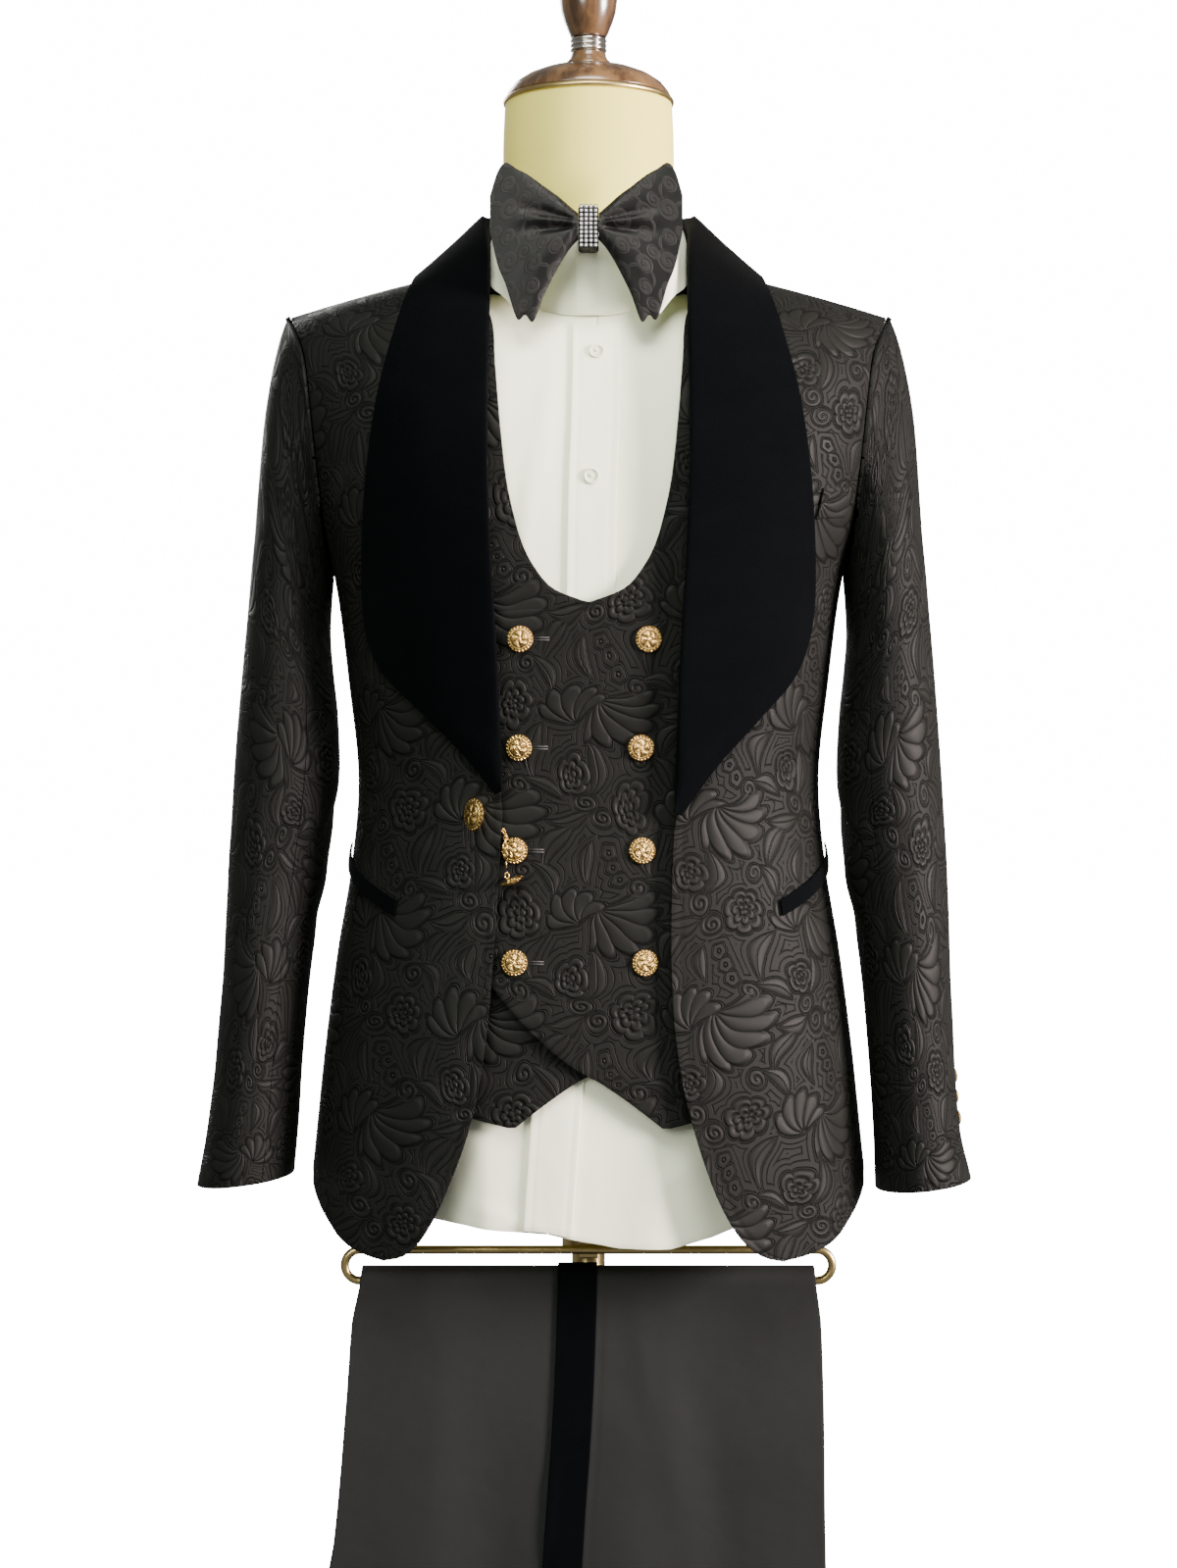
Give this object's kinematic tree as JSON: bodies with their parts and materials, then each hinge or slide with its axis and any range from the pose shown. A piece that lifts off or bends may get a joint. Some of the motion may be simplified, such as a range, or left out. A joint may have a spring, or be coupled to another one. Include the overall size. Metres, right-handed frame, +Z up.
{
  "type": "tuxedo on a limbless dress form",
  "caption": "Formal evening suit with shawl collar, waistcoat, shirt and bow tie worn by a limbless dress form; folded trousers hang over the stand's bar.",
  "frame": {"origin": "middle of the underside of the stand's round base, on the floor", "axes": "+Z up, the front of the suit faces -Y, the wearer's left is +X"},
  "size_m": [0.5726, 0.384, 1.6945],
  "materials": {
    "brocade": "black jacquard brocade with raised flowers",
    "velvet": "black velvet",
    "shirt": "white cotton",
    "satin": "black figured satin",
    "gold": "antique gold",
    "linen": "cream linen cover",
    "walnut": "dark stained and polished",
    "brass": "satin",
    "steel": "polished",
    "wool": "charcoal wool"
  },
  "bodies": {
    "root": {"jacket_front_right": "brocade", "jacket_side_right": "brocade", "jacket_back_right": "brocade", "jacket_front_left": "brocade", "jacket_side_left": "brocade", "jacket_back_left": "brocade", "shawl_collar_right": "velvet", "shawl_collar_left": "velvet", "hip_pocket_right": "velvet", "hip_pocket_left": "velvet", "breast_pocket": "brocade", "sleeve_upper_right": "brocade", "sleeve_under_right": "brocade", "sleeve_upper_left": "brocade", "sleeve_under_left": "brocade", "waistcoat_front_right": "brocade", "waistcoat_front_left": "brocade", "waistcoat_back": "brocade", "shirt_front_right": "shirt", "shirt_front_left": "shirt", "shirt_back": "shirt", "shirt_placket": "shirt", "shirt_collar_stand": "shirt", "shirt_collar_leaf": "shirt", "waistcoat_button_right_1": "gold", "waistcoat_button_left_1": "gold", "waistcoat_button_right_2": "gold", "waistcoat_button_left_2": "gold", "waistcoat_button_right_3": "gold", "waistcoat_button_left_3": "gold", "waistcoat_button_right_4": "gold", "waistcoat_button_left_4": "gold", "shirt_button_1": "shirt", "shirt_button_2": "shirt", "cuff_button_right_1": "gold", "cuff_button_right_2": "gold", "cuff_button_right_3": "gold", "cuff_button_left_1": "gold", "cuff_button_left_2": "gold", "cuff_button_left_3": "gold", "jacket_button": "gold", "jacket_button_shank": "gold", "link_chain": "gold", "bow_wing_right": "satin", "bow_wing_left": "satin", "bow_knot": "satin", "trouser_leg_front_panel": "wool", "trouser_leg_back_panel": "wool", "trouser_stripe": "velvet", "trouser_waistband": "wool", "trouser_under_layers": "wool", "dress_form": "linen", "neck_cap": "walnut", "finial_foot": "walnut", "finial_rings": "steel", "finial_knob": "walnut", "base": "brass", "pole": "brass", "trouser_bar": "brass", "bar_bracket": "brass"}
  },
  "joints": []
}
